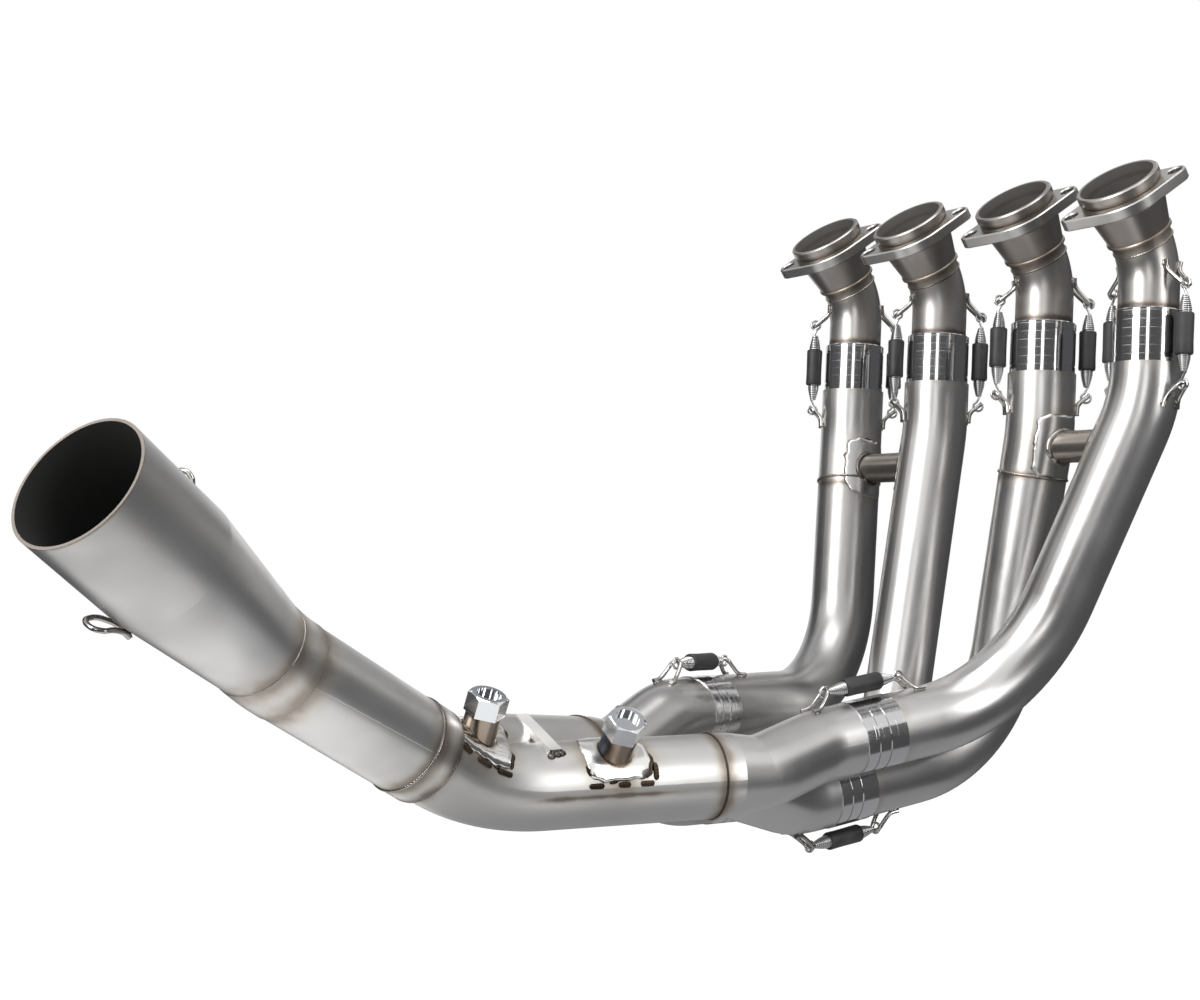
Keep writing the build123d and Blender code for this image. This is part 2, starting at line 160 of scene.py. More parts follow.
def felt(name, low, high, start, turn, tone, middle=STUDIO_MIDDLE):
    """Band of felt from one (radius, height) to another, start degrees from the camera's side."""
    bm = bmesh.new()
    first = Matrix.Rotation(math.radians(start), 3, "Z") @ -flat_ahead
    ends = [bm.verts.new(middle + first * radius + Vector((0, 0, height))) for radius, height in (low, high)]
    rail = bm.edges.new(ends)
    bmesh.ops.spin(bm, geom=[*ends, rail], cent=middle, axis=(0, 0, 1), angle=math.radians(turn), steps=48,
                   use_merge=turn == 360)
    mesh = bpy.data.meshes.new(name)
    bm.to_mesh(mesh)
    bm.free()
    sheet = bpy.data.objects.new(name, mesh)
    bpy.context.collection.objects.link(sheet)
    sheet.visible_camera = False
    sheet.visible_shadow = False
    sheet.visible_diffuse = False
    material, tree, out = new_material(name)
    shade = tree.nodes.new("ShaderNodeEmission")
    shade.inputs["Color"].default_value = (tone, tone, tone * 1.03, 1)
    tree.links.new(shade.outputs[0], out.inputs["Surface"])
    mesh.materials.append(material)
    print(name, "from", start, "over", turn, "degrees")


felt("felt_front", (FELT_R, FLOOR_Z), (FELT_R, 0.75), -115, 230, 0.11)
felt("felt_back_right", (FELT_R, FLOOR_Z), (FELT_R, 1.3), 115, 40, 0.08)
felt("felt_back_left", (FELT_R, FLOOR_Z), (FELT_R, 2.2), -155, 40, 0.08)
felt("felt_back_top", (FELT_R, 0.75), (FELT_R, 2.2), 155, 50, 0.25)
felt("felt_sky", (0.001, 2.3), (1.9, 2.3), 0, 360, 0.5)
felt("felt_carpet", (0.5, FLOOR_Z + 0.02), (FELT_R, FLOOR_Z + 0.02), 0, 360, 0.10)
felt("felt_under", (0.001, FLOOR_Z + 0.03), (0.38, FLOOR_Z + 0.03), 0, 360, 0.40, Vector((0.0, 0.05, 0)))


# %% Lamps
def soft_lamp(name, turn, height, distance, width, tall, power):
    """Square lamp round the object, turn degrees to the right of the camera's side."""
    middle = Vector((-0.3, 0, -0.2))
    out_dir = Matrix.Rotation(math.radians(turn), 3, "Z") @ -flat_ahead
    place = middle + out_dir * distance + Vector((0, 0, height))
    data = bpy.data.lights.new(name, "AREA")
    data.shape = "RECTANGLE"
    data.size = width
    data.size_y = tall
    data.energy = power
    lamp = bpy.data.objects.new(name, data)
    lamp.location = place
    lamp.rotation_euler = (middle - place).to_track_quat("-Z", "Y").to_euler()
    bpy.context.collection.objects.link(lamp)
    print(name, tuple(round(v, 2) for v in place), power, "W")


soft_lamp("key", -52, 0.9, 2.0, 0.9, 1.8, 42)
soft_lamp("fill", 48, 0.5, 2.3, 0.5, 1.6, 16)
soft_lamp("top", 0, 2.0, 0.4, 1.6, 1.2, 22)
soft_lamp("front", -8, 0.1, 2.4, 0.35, 1.5, 6)

# %% [markdown]
# ## Places on the header
# The scene can't read the CAD source, so the few driving sizes that the small pieces need are repeated
# here, in metres: the row of ports, the two rows of slip joints and the corners of the tail.

# %% Repeated sizes
def at(x, y, z):
    return Vector((x, y, z)) * 0.001


PORT_Y = {1: 0.1235, 2: 0.0445, 3: -0.0445, 4: -0.1235}
PORT_OUT = Vector((-0.58070, 0, 0.81412))
JOINT_DOWN = Vector((-0.06105, 0, -0.99813))
STUB_R, PRIMARY_R, SECONDARY_R, TAIL_R, MOUTH_R = 0.018, 0.0212, 0.0235, 0.0254, 0.0333
COLLAR_LENGTH = 0.0375
LOWER_JOINT = {
    1: (at(-8, 104, -320.5), at(-167.5, 60, -317.5)),
    2: (at(-24, 43, -364), at(-165, 43, -362)),
    3: (at(14, -12, -346), at(-111.5, -2, -362.5)),
    4: (at(-8, -51.5, -311), at(-115, -31, -327.5)),
}
FIRST_CORNER = {1: 0.048, 2: 0.046, 3: 0.050, 4: 0.038}
FRONT_OUTLET, REAR_OUTLET = at(-233, -24, -344), at(-280.5, 36, -336)
REAR_CORNER, TAIL_START = at(-342, 20, -330), at(-404, -3, -322.5)
TAIL_KINK, MOUTH = at(-499, -20.6, -270), at(-612, -67, -190)
tail_dir = (TAIL_KINK - TAIL_START).normalized()
mouth_dir = (MOUTH - TAIL_KINK).normalized()


def port(i):
    return Vector((0, PORT_Y[i], 0))


def upper_joint(i):
    return port(i) - PORT_OUT * 0.054 + JOINT_DOWN * 0.048


def on_primary(i, z):
    """Point at height z on the second straight of a primary."""
    a = upper_joint(i) + JOINT_DOWN * FIRST_CORNER[i]
    b = LOWER_JOINT[i][0]
    return a + (b - a) * ((z - a.z) / (b.z - a.z))


print("upper joint of pipe 1", tuple(round(v, 4) for v in upper_joint(1)))


# %% [markdown]
# ## Wire, beads and blobs
# Springs, hooks and weld beads are all a round section carried along a path. Extruding a circle from point to
# point would do, but a curve with a round bevel turns the section by itself, and its radius may differ from
# point to point, so that a bead can also swell and thin. The curve's mesh is then added to the piece.

# %% Section carried along a path
def smooth_path(points, steps):
    """Points of a smooth line through the given ones."""
    last = len(points) - 1
    line = []
    for k in range(last):
        p = [points[min(max(k + d, 0), last)] for d in (-1, 0, 1, 2)]
        for s in range(steps):
            t = s / steps
            line.append(0.5 * (2 * p[1] + (p[2] - p[0]) * t + (2 * p[0] - 5 * p[1] + 4 * p[2] - p[3]) * t * t
                               + (3 * p[1] - p[0] - 3 * p[2] + p[3]) * t ** 3))
    line.append(points[-1].copy())
    return line


def sweep(bm, path, radii, sides=8, closed=False):
    """Carries a round section along a path; radii is one radius or one for each point."""
    curve = bpy.data.curves.new("section", "CURVE")
    curve.dimensions = "3D"
    curve.bevel_depth = 1.0
    curve.bevel_resolution = sides // 2 - 2
    curve.use_fill_caps = not closed
    spline = curve.splines.new("POLY")
    spline.points.add(len(path) - 1)
    spline.use_cyclic_u = closed
    for k, place in enumerate(path):
        spline.points[k].co = (*place, 1)
        spline.points[k].radius = radii if isinstance(radii, float) else radii[k]
    holder = bpy.data.objects.new("section", curve)
    mesh = bpy.data.meshes.new_from_object(holder)
    bm.from_mesh(mesh)
    bpy.data.objects.remove(holder)
    bpy.data.curves.remove(curve)
    bpy.data.meshes.remove(mesh)


# %% Rippled weld bead
PUDDLE_PITCH, PUDDLE_DEPTH = 0.0016, 0.16
RING_STEP = 0.00055


def bead_radii(path, radius, seed):
    """Radii that ripple like a row of overlapping weld puddles."""
    length, radii = 0.0, []
    for k, place in enumerate(path):
        if k:
            length += (place - path[k - 1]).length
        wave = abs(math.sin(math.pi * length / PUDDLE_PITCH))
        wander = noise.noise(place * 260 + Vector((seed, 0, 0)))
        radii.append(radius * (1 - PUDDLE_DEPTH + PUDDLE_DEPTH * 1.6 * wave + 0.14 * wander))
    return radii


def ring_path(centre, axis, radius, steps):
    side = axis.orthogonal().normalized() * radius
    return [centre + Matrix.Rotation(math.tau * k / steps, 3, axis) @ side for k in range(steps)]


def weld_ring(bm, centre, axis, radius, thick):
    path = ring_path(centre, axis.normalized(), radius, int(math.tau * radius / RING_STEP))
    sweep(bm, path, bead_radii(path, thick, seed=radius * 900), closed=True)


def weld_blob(bm, place, out, along, size, long=1.6):
    """Lump of weld metal, flattened onto the surface whose outward direction is out."""
    along = (along - out * along.dot(out)).normalized()
    turn = Matrix((along, out.cross(along), out)).transposed().to_4x4()
    stretch = Matrix.Diagonal((size * long, size, size * 0.6, 1))
    made = bmesh.ops.create_icosphere(bm, subdivisions=2, radius=1,
                                      matrix=Matrix.Translation(place) @ turn @ stretch)
    for vert in made["verts"]:
        vert.co += (vert.co - place) * 0.35 * noise.noise(vert.co * 420)


def solid_object(bm, name, material, replaced=()):
    """Turns a bmesh into a smooth-shaded piece that rides on the header."""
    bmesh.ops.recalc_face_normals(bm, faces=bm.faces)
    for face in bm.faces:
        face.smooth = True
    mesh = bpy.data.meshes.new(name)
    bm.to_mesh(mesh)
    bm.free()
    mesh.materials.append(material)
    piece = bpy.data.objects.new(name, mesh)
    bpy.context.collection.objects.link(piece)
    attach(piece, "root")
    if replaced:
        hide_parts(*replaced)
    print(name, len(mesh.polygons), "faces")

# %% [markdown]
# ## Metal
# Every metal here is one shader with different numbers: a bare colour, a roughness that wanders where hands
# and tools have been, and a fine grain. Welding leaves straw, brown and grey-blue bands beside each seam, so
# a shared group measures how far a point is from a seam and another turns that heat into colour. The shader
# can also paint shade below a height, and some of its bands are painted shadow and painted reflection, not heat.

# %% Node helpers
def add_node(tree, kind, inputs=None, **settings):
    made = tree.nodes.new("ShaderNode" + kind)
    for key, value in settings.items():
        setattr(made, key, value)
    for key, value in (inputs or {}).items():
        if isinstance(value, bpy.types.NodeSocket):
            tree.links.new(value, made.inputs[key])
        else:
            made.inputs[key].default_value = value
    return made


def maths(tree, operation, a, b=0.0):
    return add_node(tree, "Math", {0: a, 1: b}, operation=operation).outputs[0]


def ramp(tree, value, low, high, start=0.0, end=1.0):
    """Smooth step of a value from low..high to start..end."""
    made = add_node(tree, "MapRange", {"Value": value, "From Min": low, "From Max": high,
                                       "To Min": start, "To Max": end}, interpolation_type="SMOOTHSTEP")
    return made.outputs["Result"]


def new_group(name, inputs, outputs):
    tree = bpy.data.node_groups.new(name, "ShaderNodeTree")
    for label, kind, value in inputs:
        socket = tree.interface.new_socket(label, in_out="INPUT", socket_type="NodeSocket" + kind)
        socket.default_value = value
    for label, kind in outputs:
        tree.interface.new_socket(label, in_out="OUTPUT", socket_type="NodeSocket" + kind)
    return tree, tree.nodes.new("NodeGroupInput").outputs, tree.nodes.new("NodeGroupOutput").inputs


def use_group(tree, group, inputs):
    made = tree.nodes.new("ShaderNodeGroup")
    made.node_tree = group
    for key, value in inputs.items():
        if isinstance(value, bpy.types.NodeSocket):
            tree.links.new(value, made.inputs[key])
        else:
            made.inputs[key].default_value = value
    return made.outputs


# %% Grain and hand marks
satin, gi, go = new_group(
    "satin_grain", [("Vector", "Vector", (0, 0, 0)), ("Grain", "Float", 1400.0), ("Marks", "Float", 22.0)],
    [("Grain", "Float"), ("Marks", "Float"), ("Cloud", "Float")])
fine = add_node(satin, "TexNoise", {"Vector": gi["Vector"], "Scale": gi["Grain"], "Detail": 3.0})
marks = add_node(satin, "TexNoise", {"Vector": gi["Vector"], "Scale": gi["Marks"], "Detail": 2.0,
                                     "Roughness": 0.5, "Distortion": 0.3})
cloud = add_node(satin, "TexNoise", {"Vector": gi["Vector"], "Scale": 9.0, "Detail": 2.0})
satin.links.new(fine.outputs["Fac"], go["Grain"])
satin.links.new(ramp(satin, marks.outputs["Fac"], 0.3, 0.72), go["Marks"])
satin.links.new(ramp(satin, cloud.outputs["Fac"], 0.3, 0.7), go["Cloud"])
print(satin.name, len(satin.nodes), "nodes")

# %% Heat from a weld
weld_heat, gi, go = new_group(
    "weld_heat",
    [("Vector", "Vector", (0, 0, 0)), ("Place", "Vector", (0, 0, 0)), ("Axis", "Vector", (0, 0, 1)),
     ("Band", "Float", 0.01), ("Core", "Float", 0.03), ("Reach", "Float", 0.04)],
    [("Heat", "Float")])
offset = add_node(weld_heat, "VectorMath", {0: gi["Vector"], 1: gi["Place"]}, operation="SUBTRACT").outputs[0]
along = add_node(weld_heat, "VectorMath", {0: offset, 1: gi["Axis"]}, operation="DOT_PRODUCT").outputs["Value"]
wave = add_node(weld_heat, "TexNoise", {"Vector": gi["Vector"], "Scale": 70.0, "Detail": 2.0}).outputs["Fac"]
wave = maths(weld_heat, "MULTIPLY", maths(weld_heat, "SUBTRACT", wave, 0.5), 0.9)
drift = maths(weld_heat, "MULTIPLY", wave, gi["Band"])
away = maths(weld_heat, "ABSOLUTE", along)
band = ramp(weld_heat, maths(weld_heat, "ADD", away, drift), gi["Band"], 0.0)
far = add_node(weld_heat, "VectorMath", {0: offset}, operation="LENGTH").outputs["Value"]
ragged = maths(weld_heat, "MULTIPLY", wave, maths(weld_heat, "MULTIPLY", gi["Reach"], 0.3))
far = maths(weld_heat, "ADD", far, ragged)
near = ramp(weld_heat, far, gi["Reach"], gi["Core"])
weld_heat.links.new(maths(weld_heat, "MULTIPLY", band, near), go["Heat"])
print(weld_heat.name, len(weld_heat.nodes), "nodes")

# %% Heat colours
heat_colour, gi, go = new_group(
    "heat_colour", [("Metal", "Color", (0.6, 0.6, 0.6, 1)), ("Heat", "Float", 0.0)], [("Color", "Color")])
tint = add_node(heat_colour, "ValToRGB", {"Fac": gi["Heat"]})
stops = tint.color_ramp.elements
stops[0].position, stops[0].color = 0.0, (1, 1, 1, 1)
stops[1].position, stops[1].color = 1.0, (0.10, 0.17, 0.30, 1)
for place, colour in ((0.3, (0.93, 0.91, 0.87, 1)), (0.55, (0.78, 0.72, 0.65, 1)), (0.78, (0.50, 0.45, 0.41, 1)),
                      (0.92, (0.27, 0.25, 0.26, 1))):
    stops.new(place).color = colour
tinted = add_node(heat_colour, "Mix", {0: 1.0, 6: gi["Metal"], 7: tint.outputs["Color"]},
                  data_type="RGBA", blend_type="MULTIPLY")
heat_colour.links.new(tinted.outputs[2], go["Color"])
print(heat_colour.name, len(stops), "stops")

# %% Darkening inside an open end
DARK_BORE_INSET = 0.0011
bore_darkening, gi, go = new_group(
    "bore_darkening",
    [("Vector", "Vector", (0, 0, 0)), ("Place", "Vector", (0, 0, 0)), ("Axis", "Vector", (0, 0, 1)),
     ("Start Radius", "Float", 0.02), ("End Radius", "Float", 0.02), ("Length", "Float", 0.1)],
    [("Darkness", "Float")])
offset = add_node(bore_darkening, "VectorMath", {0: gi["Vector"], 1: gi["Place"]}, operation="SUBTRACT").outputs[0]
along = add_node(bore_darkening, "VectorMath", {0: offset, 1: gi["Axis"]}, operation="DOT_PRODUCT").outputs["Value"]
square = add_node(bore_darkening, "VectorMath", {0: offset, 1: offset}, operation="DOT_PRODUCT").outputs["Value"]
radial = maths(bore_darkening, "SQRT", maths(bore_darkening, "SUBTRACT", square, maths(bore_darkening, "MULTIPLY", along, along)))
wall = add_node(bore_darkening, "MapRange", {"Value": along, "From Min": 0.0, "From Max": gi["Length"],
                                        "To Min": gi["Start Radius"], "To Max": gi["End Radius"]}).outputs[0]
within = maths(bore_darkening, "MULTIPLY", maths(bore_darkening, "GREATER_THAN", along, 0.0),
               maths(bore_darkening, "LESS_THAN", along, gi["Length"]))
inner = maths(bore_darkening, "LESS_THAN", radial, maths(bore_darkening, "SUBTRACT", wall, DARK_BORE_INSET))
bore_darkening.links.new(maths(bore_darkening, "MULTIPLY", within, inner), go["Darkness"])
print(bore_darkening.name, len(bore_darkening.nodes), "nodes")


# %% Turned grooves
turned, gi, go = new_group(
    "turned_grooves",
    [("Vector", "Vector", (0, 0, 0)), ("Axis", "Vector", (0, 0, 1)), ("Pitch", "Float", 0.004)], [("Depth", "Float")])
along = add_node(turned, "VectorMath", {0: gi["Vector"], 1: gi["Axis"]}, operation="DOT_PRODUCT").outputs["Value"]
tooth = maths(turned, "FRACT", maths(turned, "DIVIDE", along, gi["Pitch"]))
wide = ramp(turned, maths(turned, "ABSOLUTE", maths(turned, "SUBTRACT", tooth, 0.5)), 0.0, 0.12)
fine = maths(turned, "SINE", maths(turned, "MULTIPLY", along, math.tau / 0.0007))
turned.links.new(maths(turned, "ADD", wide, maths(turned, "MULTIPLY", fine, 0.12)), go["Depth"])
print(turned.name, len(turned.nodes), "nodes")


# %% One metal shader
# Near-black colour and roughness painted inside the open ends.
DARK_BORE, DARK_BORE_ROUGH = (0.016, 0.015, 0.014), 0.85


def metal(name, colour, rough, grain=1400.0, bump=0.02, marks=0.08, cloud=0.08, heats=(), dark_bores=(), dark_bore_amount=1.0,
          painted_shade_below=None, grooves=None):
    """Bare metal; heats are (place, axis, band, core, reach, strength), grooves (axis, pitch)."""
    material, tree, out = new_material(name)
    here = add_node(tree, "TexCoord").outputs["Object"]
    surface = use_group(tree, satin, {"Vector": here, "Grain": grain})
    shade = maths(tree, "SUBTRACT", 1.0, maths(tree, "MULTIPLY", surface["Cloud"], cloud))
    shade = maths(tree, "SUBTRACT", shade, maths(tree, "MULTIPLY", surface["Marks"], cloud * 0.6))
    # Painted shade: the colour gets darker below the given height.
    if painted_shade_below:
        depth, amount = painted_shade_below
        height = add_node(tree, "SeparateXYZ", {0: here}).outputs["Z"]
        under = ramp(tree, height, depth + 0.001, depth - 0.001, 0.0, amount)
        shade = maths(tree, "SUBTRACT", shade, under)
    bare = add_node(tree, "Mix", {0: 1.0, 6: (*colour, 1), 7: shade},
                    data_type="RGBA", blend_type="MULTIPLY").outputs[2]
    heat = None
    for place, axis, band, core, reach, strength in heats:
        one = use_group(tree, weld_heat, {"Vector": here, "Place": place, "Axis": axis, "Band": band,
                                          "Core": core, "Reach": reach})["Heat"]
        one = maths(tree, "MULTIPLY", one, strength)
        heat = one if heat is None else maths(tree, "MAXIMUM", heat, one)
    roughness = maths(tree, "ADD", rough - marks / 2, maths(tree, "MULTIPLY", surface["Marks"], marks))
    if heat is not None:
        bare = use_group(tree, heat_colour, {"Metal": bare, "Heat": heat})["Color"]
        roughness = maths(tree, "ADD", roughness, maths(tree, "MULTIPLY", heat, 0.12))
    relief = add_node(tree, "Bump", {"Strength": bump, "Distance": 0.0004, "Height": surface["Grain"]})
    if grooves:
        cut = use_group(tree, turned, {"Vector": here, "Axis": grooves[0], "Pitch": grooves[1]})["Depth"]
        relief = add_node(tree, "Bump", {"Strength": 0.09, "Distance": 0.0003, "Height": cut,
                                         "Normal": relief.outputs[0]})
    shader = add_node(tree, "BsdfPrincipled", {"Base Color": bare, "Metallic": 1.0, "Roughness": roughness,
                                               "Normal": relief.outputs[0]})
    black = None
    for dark_bore in dark_bores:
        one = use_group(tree, bore_darkening, {"Vector": here, **dark_bore})["Darkness"]
        black = one if black is None else maths(tree, "MAXIMUM", black, one)
    if black is not None:
        black = maths(tree, "MULTIPLY", black, dark_bore_amount)
        darkened_colour = add_node(tree, "Mix", {0: black, 6: bare, 7: (*DARK_BORE, 1)}, data_type="RGBA").outputs[2]
        tree.links.new(darkened_colour, shader.inputs["Base Color"])
        rough_dark_bore = maths(tree, "MULTIPLY", black, DARK_BORE_ROUGH)
        tree.links.new(maths(tree, "MAXIMUM", roughness, rough_dark_bore), shader.inputs["Roughness"])
        tree.links.new(maths(tree, "SUBTRACT", 1.0, black), shader.inputs["Metallic"])
    tree.links.new(shader.outputs[0], out.inputs["Surface"])
    return material


NO_AXIS = (0, 0, 0)


def seam(place, axis, radius, strength=0.8, band=0.010):
    return place, axis, band, radius * 1.15, radius * 1.5, strength


def spot(place, reach, strength=0.7):
    return place, NO_AXIS, 1.0, reach * 0.35, reach, strength


# %% [markdown]
# ## Finishes
# The header is brushed stainless tube, so one shader serves all of it. The pieces differ in how matt they are, in
# where they were welded and in how dark they are inside: the slip rings are turned and shiny, the tail is blasted
# matt, and the open ends are painted darker inside. Each heat mark is put where the seam really is, from the repeated
# sizes, except two dark bands made the same way, which are painted light: a painted shadow line above each upper slip
# ring and a painted reflection streak on the front secondary.

# %% Port end
LIP_DEPTH, GROOVE_PITCH = 0.034, 0.0052
for i in PORT_Y:
    foot = port(i) - PORT_OUT * COLLAR_LENGTH
    groove = port(i) - PORT_OUT * 0.0065
    painted_shadow_line = upper_joint(i) - JOINT_DOWN * 0.0175
    # The collar's bore is bare metal: the darkening inside its lip is painted shade.
    lip_dark_bore = {"Place": port(i) - PORT_OUT * LIP_DEPTH, "Axis": PORT_OUT, "Start Radius": 0.0185,
                "End Radius": 0.0236, "Length": LIP_DEPTH}
    collar_metal = metal(f"collar_{i}", (0.46, 0.425, 0.395), 0.34, grain=900, cloud=0.16,
                         heats=(seam(foot, PORT_OUT, 0.025, 0.7, 0.007),
                                seam(groove, PORT_OUT, 0.025, 0.6, 0.003)),
                         dark_bores=(lip_dark_bore,), dark_bore_amount=0.78)
    nodes[f"port_collar_{i}"].material_slots[0].material = collar_metal
    # The stub's second band, at the top rim of the upper slip ring, is no weld but a painted shadow line where the
    # stub goes into the ring.
    stub_metal = metal(f"stub_{i}", (0.52, 0.50, 0.48), 0.35, cloud=0.14,
                       heats=(seam(foot, PORT_OUT, STUB_R, 0.8),
                              seam(painted_shadow_line, JOINT_DOWN, STUB_R, 0.92, 0.005)))
    nodes[f"stub_pipe_{i}"].material_slots[0].material = stub_metal

flange_metal = metal("flange_satin", (0.54, 0.53, 0.51), 0.33, cloud=0.12)
for i in PORT_Y:
    corner, joint = LOWER_JOINT[i]
    nodes[f"port_flange_{i}"].material_slots[0].material = flange_metal
    for row, axis in (("upper", JOINT_DOWN), ("lower", (joint - corner).normalized())):
        nodes[f"{row}_slip_ring_{i}"].material_slots[0].material = metal(
            f"slip_ring_{row}_{i}", (0.66, 0.66, 0.665), 0.12, grain=2600, marks=0.06,
            grooves=(axis, GROOVE_PITCH))
print("port ends and slip rings of", len(PORT_Y), "pipes")

# %% Primary pipes
CROSS_Z = {1: -0.163, 2: -0.163, 3: -0.155, 4: -0.155}
CROSS_MATE = {1: 2, 2: 1, 3: 4, 4: 3}
SEAM_Z = {1: -0.172, 3: -0.172}
# Painted shade: pipes 1 and 3 are painted darker below their seam, most of all pipe 1 at the back.
PIPE_PAINTED_SHADE = {1: 0.28, 2: 0.0, 3: 0.08, 4: 0.0}
for i in PORT_Y:
    here, mate = on_primary(i, CROSS_Z[i]), on_primary(CROSS_MATE[i], CROSS_Z[i])
    meeting = here + (mate - here).normalized() * PRIMARY_R
    lower = LOWER_JOINT[i][1]
    way = (lower - LOWER_JOINT[i][0]).normalized()
    heats = [spot(meeting, 0.034, 0.75), seam(lower - way * 0.014, way, PRIMARY_R, 0.35, 0.008),
             seam(upper_joint(i) + JOINT_DOWN * 0.016, JOINT_DOWN, PRIMARY_R, 0.4, 0.006)]
    if i in SEAM_Z:
        heats.append(seam(on_primary(i, SEAM_Z[i]), Vector((0, 0, 1)), 0.026, 0.85, 0.007))
    dark = (SEAM_Z[i], PIPE_PAINTED_SHADE[i]) if i in SEAM_Z else None
    pipe_metal = metal(f"primary_{i}", (0.62, 0.61, 0.60), 0.33, heats=heats, painted_shade_below=dark)
    nodes[f"primary_pipe_{i}"].material_slots[0].material = pipe_metal
cross_metal = metal("crossover_satin", (0.52, 0.47, 0.42), 0.28, cloud=0.25)
pad_metal = metal("weld_patch", (0.62, 0.61, 0.595), 0.31, marks=0.08, cloud=0.2)
for pair in ("12", "34"):
    nodes[f"crossover_tube_{pair}"].material_slots[0].material = cross_metal
print("primaries and crossovers of pipes", *PIPE_PAINTED_SHADE)

# %% Collectors, secondaries and tail
front_way = (TAIL_START - tail_dir * 0.045 - FRONT_OUTLET).normalized()
rear_way = (REAR_CORNER - REAR_OUTLET).normalized()
FRONT_STRAIGHT, FRONT_BEND_R = 0.0996, 0.110
BUNG_SPOTS = {"front": (0.0645, 40), "rear": (0.147, 25)}


def on_front(along):
    """Point on the front secondary's axis, so far past the collector, and the axis's direction there."""
    turned = max(0.0, along - FRONT_STRAIGHT) / FRONT_BEND_R
    inward = (tail_dir - front_way * tail_dir.dot(front_way)).normalized()
    arc = front_way * math.sin(turned) + inward * (1 - math.cos(turned))
    place = FRONT_OUTLET + front_way * min(along, FRONT_STRAIGHT) + arc * FRONT_BEND_R
    return place, front_way * math.cos(turned) + inward * math.sin(turned)


def bung_axis(key):
    """Foot of a sensor bung on the front secondary's axis, and the bung's outward direction."""
    along, lean = BUNG_SPOTS[key]
    place, way = on_front(along)
    side = way.cross(Vector((0, 0, 1))).normalized()
    if side.y > 0:
        side = -side
    lean = math.radians(lean)
    return place, Vector((0, 0, 1)) * math.cos(lean) + side * math.sin(lean)


bung_foot = {}
for key in BUNG_SPOTS:
    base, out_dir = bung_axis(key)
    bung_foot[key] = base + out_dir * SECONDARY_R
bung_heats = [spot(place, 0.034, 0.8) for place in bung_foot.values()]
nodes["y_collector_front"].material_slots[0].material = metal(
    "collector_front", (0.66, 0.65, 0.64), 0.34, heats=[seam(FRONT_OUTLET, front_way, SECONDARY_R, 0.8)])
# Painted shade: the rear collector sits behind the front one and is painted a darker grey than it.
nodes["y_collector_rear"].material_slots[0].material = metal(
    "collector_rear", (0.54, 0.53, 0.52), 0.30, cloud=0.22, heats=[seam(REAR_OUTLET, rear_way, SECONDARY_R, 0.8)])
# Painted reflection: a dark streak along the front secondary, made like a heat band, on its side toward the camera.
STREAK_LEAN = math.radians(100)
streak_out = Vector((0, 0, math.cos(STREAK_LEAN))) - Vector((0, math.sin(STREAK_LEAN), 0))
streak_place = on_front(0.075)[0] + streak_out * SECONDARY_R
streak_band, streak_core, streak_reach, streak_strength = 0.0030, 0.03, 0.055, 0.85
painted_reflection_streak = (streak_place, front_way.cross(streak_out).normalized(), streak_band, streak_core, streak_reach,
          streak_strength)
for name, start, way in (("front", FRONT_OUTLET, front_way), ("rear", REAR_OUTLET, rear_way)):
    nodes[f"secondary_pipe_{name}"].material_slots[0].material = metal(
        f"secondary_{name}", (0.62, 0.61, 0.595), 0.39, marks=0.06, cloud=0.12,
        heats=[*bung_heats, painted_reflection_streak, seam(start, way, SECONDARY_R),
               seam(TAIL_START, tail_dir, SECONDARY_R, 0.85)])

ring_end = TAIL_START + tail_dir * 0.014
kink_in, kink_out = TAIL_KINK - tail_dir * 0.011, TAIL_KINK + mouth_dir * 0.011
tail_heats = [seam(TAIL_START, tail_dir, TAIL_R, 0.9), seam(ring_end, tail_dir, TAIL_R, 0.8, 0.012),
              seam(kink_in, tail_dir, TAIL_R, 0.75, 0.014), seam(kink_out, mouth_dir, TAIL_R, 0.72, 0.014),
              seam(MOUTH, mouth_dir, MOUTH_R, 0.75, 0.0016)]
cone_side = mouth_dir.cross(Vector((0, 0, 1))).normalized()
cone_up = mouth_dir.cross(cone_side)
CONE_L, MOUTH_L, TAIL_L = 0.072, 0.0627, 0.11
LOOP_SPOTS = ((0.070, 60, 1.0), (0.080, 270, 0.72))


def loop_foot(along, turn):
    """Foot of a silencer loop on the cone, and the outward direction there."""
    out_dir = cone_side * math.cos(math.radians(turn)) + cone_up * math.sin(math.radians(turn))
    radius = TAIL_R + (MOUTH_R - TAIL_R) * min(along / CONE_L, 1)
    return kink_out + mouth_dir * along + out_dir * radius, out_dir


loop_heats = [spot(loop_foot(*where[:2])[0] - mouth_dir * 0.004, 0.015, 0.8) for where in LOOP_SPOTS]
# The cone and the tail pipe are painted darker inside.
cone_dark_bores = (
    {"Place": kink_out, "Axis": mouth_dir, "Start Radius": TAIL_R, "End Radius": MOUTH_R, "Length": CONE_L},
    {"Place": kink_out + mouth_dir * CONE_L, "Axis": mouth_dir, "Start Radius": MOUTH_R, "End Radius": MOUTH_R,
     "Length": MOUTH_L},
)
pipe_dark_bore = {"Place": ring_end, "Axis": tail_dir, "Start Radius": TAIL_R, "End Radius": TAIL_R,
             "Length": TAIL_L}
BLASTED = (0.70, 0.69, 0.68)
tail_metal = metal("tail_matt", BLASTED, 0.36, grain=1000, bump=0.05, marks=0.10, cloud=0.20,
                   heats=tail_heats, dark_bores=(pipe_dark_bore,))
cone_metal = metal("cone_matt", BLASTED, 0.38, grain=1000, bump=0.05, marks=0.10, cloud=0.24,
                   heats=tail_heats[3:] + loop_heats, dark_bores=cone_dark_bores)
for name in ("merge_ring", "tail_pipe", "tail_ring"):
    nodes[name].material_slots[0].material = tail_metal
nodes["outlet_cone"].material_slots[0].material = cone_metal
print(len(tail_heats), "heat rings on the tail")

